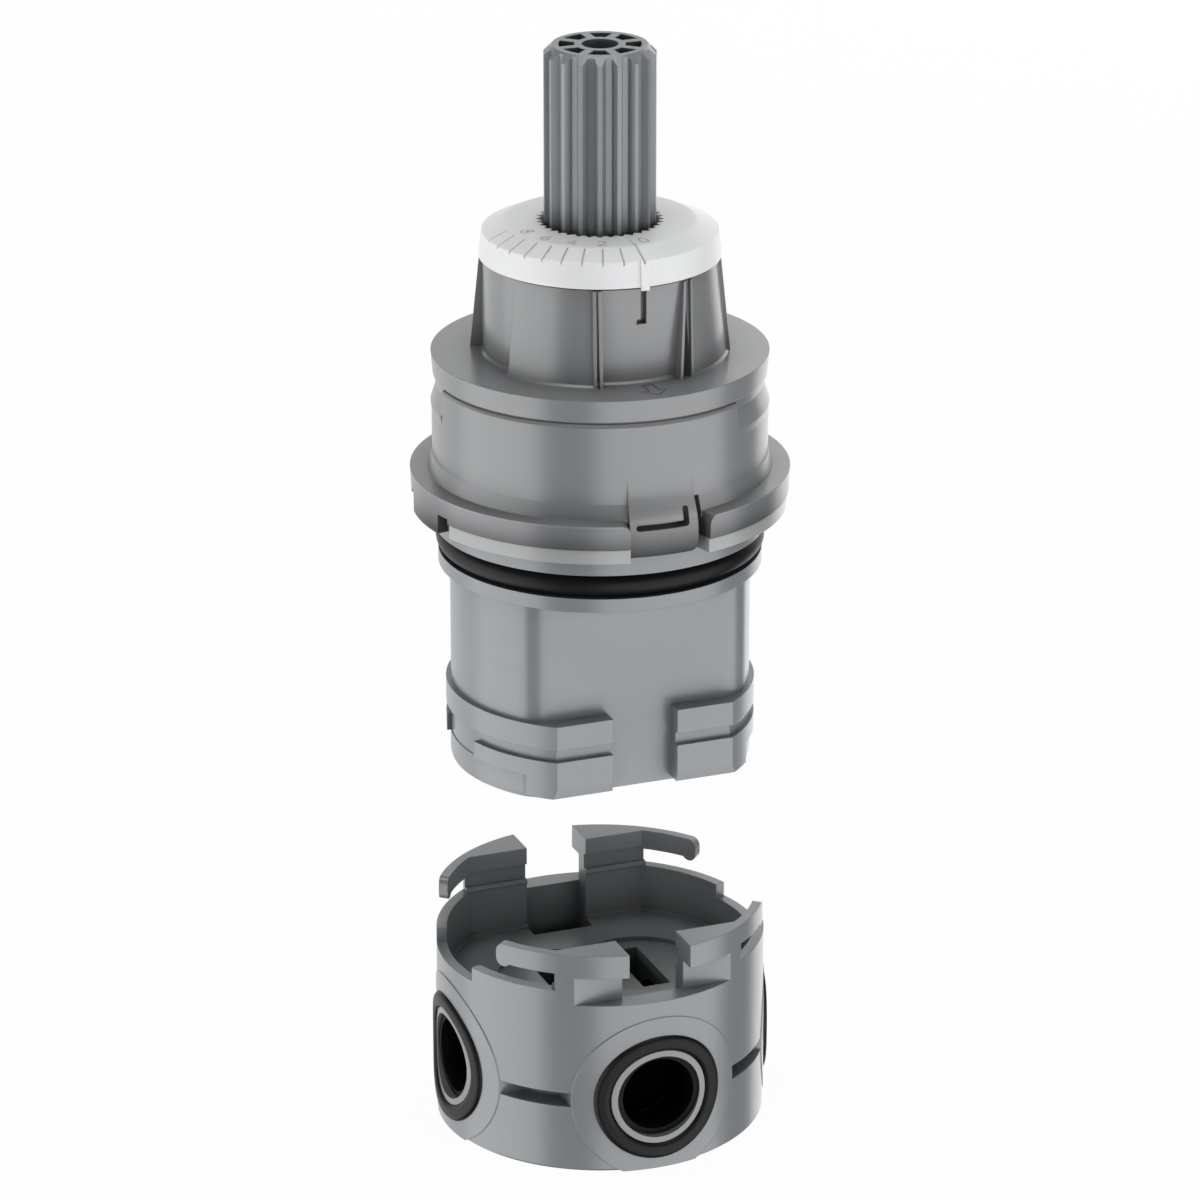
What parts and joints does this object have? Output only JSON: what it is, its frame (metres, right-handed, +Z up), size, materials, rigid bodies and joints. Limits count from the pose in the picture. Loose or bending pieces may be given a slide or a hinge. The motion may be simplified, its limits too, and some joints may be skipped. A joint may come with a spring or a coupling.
{
  "type": "pressure balance cartridge",
  "caption": "Shower valve cartridge with splined stem, limit ring, ceramic discs, pressure balance spool and a clip-on adaptor that has ports on all sides, shown taken apart.",
  "frame": {"origin": "on the stem's axis, at the seat under the flange where the cartridge rests on the valve body", "axes": "+Z up the stem to the handle, -Y to the front with the index slot, +X to the right seen from the front"},
  "size_m": [0.0408, 0.0398, 0.1223],
  "materials": {
    "housing_plastic": "fine satin, moulded",
    "body_plastic": "fine satin, moulded",
    "stem_plastic": "satin, moulded",
    "ring_plastic": "white satin, moulded",
    "adaptor_plastic": "fine satin, moulded",
    "liner_plastic": "dark satin, moulded",
    "seal_rubber": "black, smooth",
    "ceramic": "polished ceramic, stands in as gloss plastic",
    "washer_plastic": "natural, smooth",
    "spool_steel": "ground stainless steel",
    "sleeve_plastic": "smooth"
  },
  "bodies": {
    "cartridge": {"upper_housing": "housing_plastic", "lower_housing": "body_plastic", "body_o_ring": "seal_rubber", "disc_gasket": "seal_rubber", "fixed_disc": "ceramic", "spool_sleeve": "sleeve_plastic", "sleeve_o_rings": "seal_rubber", "sleeve_plug_left": "sleeve_plastic", "sleeve_plug_right": "sleeve_plastic", "base_plate": "body_plastic", "base_seal": "seal_rubber"},
    "spindle": {"stem": "stem_plastic", "stem_o_rings": "seal_rubber", "thrust_washer": "washer_plastic", "disc_driver": "stem_plastic", "moving_disc": "ceramic"},
    "ring": {"limit_ring": "ring_plastic"},
    "spool": {"balance_spool": "spool_steel"},
    "adaptor": {"adaptor_body": "adaptor_plastic", "port_o_ring_front": "seal_rubber", "port_o_ring_right": "seal_rubber", "port_o_ring_back": "seal_rubber", "port_o_ring_left": "seal_rubber", "port_liner_front": "liner_plastic", "port_liner_right": "liner_plastic", "port_liner_back": "liner_plastic", "port_liner_left": "liner_plastic"}
  },
  "joints": [
    {"name": "stem_turn", "type": "hinge", "parent": "cartridge", "child": "spindle", "pos_m": [0, 0, 0], "axis": [0, 0, 1], "range_deg": [-38, 124]},
    {"name": "limit_ring_lift", "type": "slide", "parent": "spindle", "child": "ring", "axis": [0, 0, 1], "range_m": [0, 0.024]},
    {"name": "spool_shuttle", "type": "slide", "parent": "cartridge", "child": "spool", "axis": [1, 0, 0], "range_m": [-0.002, 0.002]},
    {"name": "adaptor_fit", "type": "slide", "parent": "cartridge", "child": "adaptor", "axis": [0, 0, 1], "range_m": [0, 0.0268]}
  ]
}
